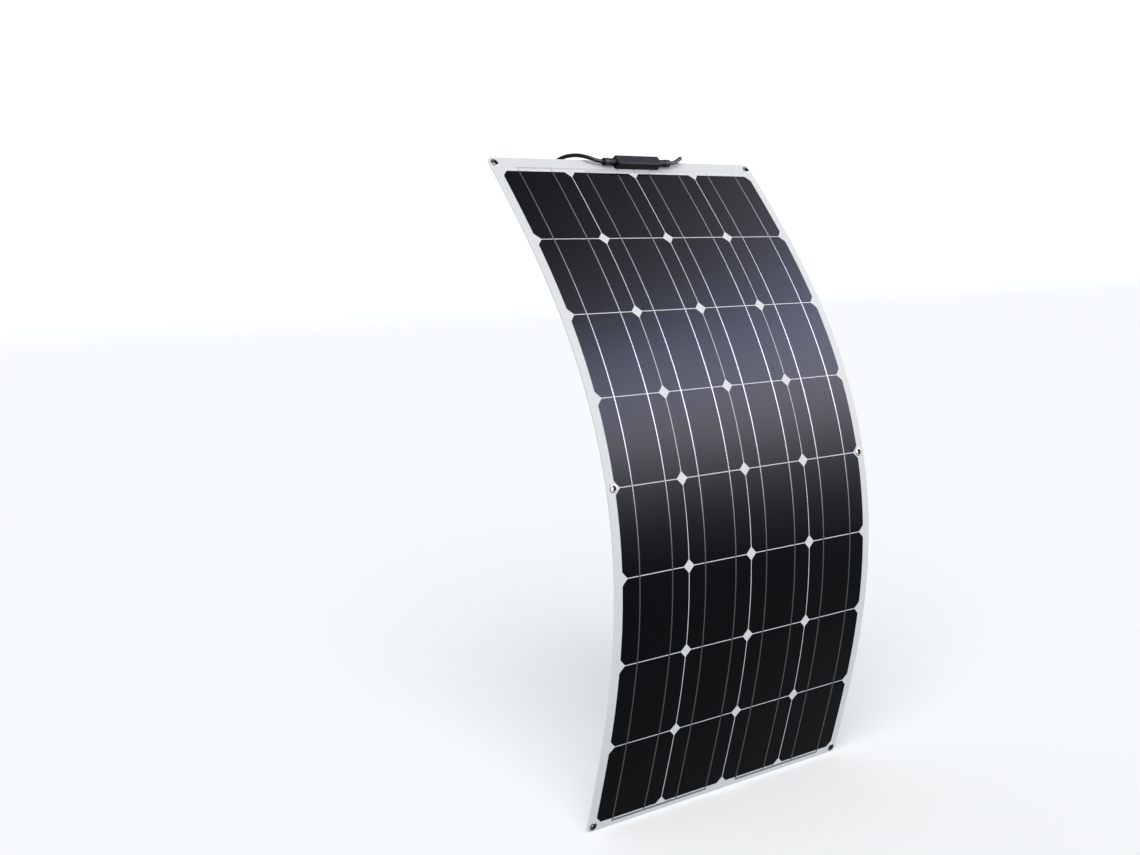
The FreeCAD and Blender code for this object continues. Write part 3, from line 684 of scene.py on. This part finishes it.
# Inside this radius a ring carries the painted shade of the bore.
BORE_EDGE = 0.0047
WASHER_PROFILE = [
    (0.0040, -0.00304),
    (0.0064, -0.00304),
    (0.0065, -0.0029),
    (0.0065, -0.0026),
    (0.0064, -0.00254),
    (0.0040, -0.00254),
]
RING_SEGMENTS = 48
RING_ANGLE = math.radians(35)


def turn_ring(profile, place):
    """A closed ring, turned about Z from the corners of its section, and then placed."""
    ring = bmesh.new()
    verts = [ring.verts.new((radius, 0.0, height)) for radius, height in profile]
    edges = [ring.edges.new(pair) for pair in zip(verts, verts[1:] + verts[:1])]
    bmesh.ops.spin(
        ring,
        geom=verts + edges,
        cent=(0, 0, 0),
        axis=(0, 0, 1),
        angle=2 * math.pi,
        steps=RING_SEGMENTS,
        use_merge=True,
    )
    for face in ring.faces:
        # Faces inside BORE_EDGE take the second material, whose near-black tone is painted shade.
        face.material_index = int(face.calc_center_median().xy.length < BORE_EDGE)
    bmesh.ops.transform(ring, matrix=place, verts=ring.verts)
    mesh = bpy.data.meshes.new("ring")
    ring.to_mesh(mesh)
    ring.free()
    return mesh


for where, body in (("top", "row_1"), ("middle", "middle_rows"), ("bottom", "row_8")):
    across_at, station = EYELETS[where]
    for label, profile in (("eyelets", EYELET_PROFILE), ("washers", WASHER_PROFILE)):
        pair = bmesh.new()
        for side in (-1, 1):
            pair.from_mesh(turn_ring(profile, frame_at(side * across_at, station)))
        bmesh.ops.recalc_face_normals(pair, faces=pair.faces)
        for face in pair.faces:
            face.smooth = True
        mesh = bpy.data.meshes.new(f"{label}_{where}_turned")
        pair.to_mesh(mesh)
        pair.free()
        mesh.set_sharp_from_angle(angle=RING_ANGLE)
        mesh.materials.append(plating.material)
        mesh.materials.append(bore.material)
        rings = bpy.data.objects.new(mesh.name, mesh)
        scene.collection.objects.link(rings)
        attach(rings, body)
        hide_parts(f"{label}_{where}")

# ---------------------------------------------------------------------------------------------
# Junction box: a slim tray and lid moulded in black plastic, stuck to the top margin with foam
# tape. A cable gland with a fluted nut stands on each end.
shell = Finish("box_shell", Specular_IOR_Level=0.06)
shell.tone(shell.noise(90.0, 4.0), (0.0045, 0.0042, 0.0042), (0.009, 0.0082, 0.0082))
shell.rough(shell.noise(70.0, 4.0), 0.42, 0.58)
shell.bump(shell.noise(1100.0, 3.0), 0.3, 0.0001)
paint(shell, "junction_box_base", "junction_box_lid", "gland_nuts")
foam = Finish("foam_tape", Roughness=0.9)
foam.tone(foam.noise(900.0), (0.02, 0.02, 0.02), (0.06, 0.06, 0.06))
foam.bump(foam.noise(1800.0), 0.4, 0.0002)
paint(foam, "box_adhesive_pad")
rubber = Finish("seal_rubber", Roughness=0.7)
rubber.tone(rubber.noise(500.0), (0.015, 0.015, 0.015), (0.03, 0.03, 0.03))
paint(rubber, "gland_seals", "box_potting", "bypass_diodes")
brass = Finish("terminal_brass", Metallic=1.0)
tarnish = brass.noise(300.0)
brass.tone(tarnish, (0.55, 0.40, 0.18), (0.70, 0.55, 0.28))
brass.rough(tarnish, 0.25, 0.4)
paint(brass, "box_terminals")

# ---------------------------------------------------------------------------------------------
# Studio: a pale floor that bends up into a backdrop, a very soft sun from the upper left, a surround
# that is palest at the horizon, and one tall card whose reflection is the sheen on the cells.
FLOOR = cad_box[0].z - 0.001
FLOOR_HALF_WIDTH = 30.0
FLOOR_FRONT = -14.0
FLOOR_RUNS = [(23.0, 0.0), (0.8, 0.12), (0.7, 0.32), (0.6, 0.45), (14.0, 14.0)]
stage = bmesh.new()
edge = [stage.verts.new((x, FLOOR_FRONT, FLOOR)) for x in (-FLOOR_HALF_WIDTH, FLOOR_HALF_WIDTH)]
line = [stage.edges.new(edge)]
for forward, rise in FLOOR_RUNS:
    moved = bmesh.ops.extrude_edge_only(stage, edges=line)["geom"]
    line = [item for item in moved if isinstance(item, bmesh.types.BMEdge)]
    verts = [item for item in moved if isinstance(item, bmesh.types.BMVert)]
    bmesh.ops.translate(stage, vec=(0.0, forward, rise), verts=verts)
for face in stage.faces:
    face.smooth = True
floor_mesh = bpy.data.meshes.new("floor")
stage.to_mesh(floor_mesh)
stage.free()
paper = Finish(
    "pale_paper",
    Base_Color=(0.96, 0.96, 0.96, 1.0),
    Roughness=0.9,
    Specular_IOR_Level=0.0,
    Emission_Strength=0.12,
)
floor_mesh.materials.append(paper.material)
floor = bpy.data.objects.new("floor", floor_mesh)
scene.collection.objects.link(floor)
# The floor throws no light up at the sheet, whose lower rows lean over it.
floor.visible_diffuse = False


def shine(name, light, place, aim):
    """Hang a light that points from one place at another; it isn't seen itself."""
    holder = bpy.data.objects.new(name, light)
    turn = (Vector(aim) - Vector(place)).to_track_quat("-Z", "Y").to_matrix()
    holder.matrix_world = Matrix.Translation(place) @ turn.to_4x4()
    holder.visible_camera = False
    scene.collection.objects.link(holder)
    return holder


# The card is brightest near its middle. Each stop is a height on it, its glow there, and how red and
# how blue that glow is beside its green. Its glow also falls off across it, between two shares of
# its width, from the third number of CARD_SIDES to the fourth.
CARD_MIDDLE = Vector((1.52, -1.42, 1.02))
CARD_AIM = Vector((0.0, 0.05, 0.12))
CARD_SLIDE = 0.45
CARD_SIZE = (3.4, 4.6)
CARD_GLOW = 32.0
CARD_SIDES = (0.22, 0.62, 1.18, 0.74)
CARD_STOPS = [
    (-2.30, 0.00, 1.00, 1.00),
    (-1.60, 0.03, 0.80, 1.40),
    (-1.22, 0.08, 0.90, 1.35),
    (-0.87, 0.235, 0.98, 1.18),
    (-0.60, 0.47, 1.00, 1.14),
    (-0.35, 0.78, 1.02, 1.14),
    (-0.10, 1.00, 1.01, 1.22),
    (0.20, 1.00, 0.97, 1.36),
    (0.45, 0.84, 0.94, 1.42),
    (0.75, 0.50, 0.94, 1.38),
    (1.10, 0.24, 0.98, 1.18),
    (1.50, 0.115, 1.00, 1.08),
    (1.90, 0.05, 1.00, 1.04),
    (2.30, 0.03, 1.00, 1.04),
]
out = (CARD_MIDDLE - CARD_AIM).normalized()
sideways = Vector((0.0, 0.0, 1.0)).cross(out).normalized()
place = CARD_MIDDLE + sideways * CARD_SLIDE
card = bpy.data.lights.new("card", "AREA")
card.shape = "RECTANGLE"
card.size, card.size_y = CARD_SIZE
card.energy = CARD_GLOW * math.pi * CARD_SIZE[0] * CARD_SIZE[1]
card.use_nodes = True
glow = Glow(card)
over_card = glow.node("ShaderNodeNewGeometry").outputs["Parametric"]
spot = glow.node("ShaderNodeSeparateXYZ", {}, {0: over_card})
stops = [
    (height / CARD_SIZE[1] + 0.5, (level * red, level, level * blue, 1.0))
    for height, level, red, blue in CARD_STOPS
]
ramp = glow.node("ShaderNodeValToRGB", {"stops": stops}, {"Fac": spot.outputs["Y"]})
emission = card.node_tree.nodes["Emission"]
glow.feed(emission.inputs["Color"], ramp.outputs["Color"])
glow.feed(emission.inputs["Strength"], glow.spread(spot.outputs["X"], *CARD_SIDES))
shine("card", card, place, place - out).visible_diffuse = False
day = bpy.data.lights.new("day", "SUN")
day.energy = 2.05
day.angle = math.radians(50)
day.color = (1.0, 0.99, 0.97)
shine("day", day, (-1.1, -1.2, 1.5), (0.0, 0.0, 0.0))
HORIZON = (0.85, 0.87, 0.89)
OVERHEAD = (0.33, 0.36, 0.39)
UNDERFOOT = (0.42, 0.50, 0.58)
surround = bpy.data.worlds.new("surround")
surround.use_nodes = True
sky = Glow(surround)
upward = sky.node("ShaderNodeSeparateXYZ", {}, {0: sky.place("Generated")}).outputs["Z"]
above = sky.mix(sky.spread(upward, 0.0, 0.6, 0.0, 1.0), HORIZON, OVERHEAD)
shade = sky.mix(sky.spread(upward, -0.5, 0.0, 0.0, 1.0), UNDERFOOT, above)
sky.feed(surround.node_tree.nodes["Background"].inputs["Color"], shade)
scene.world = surround
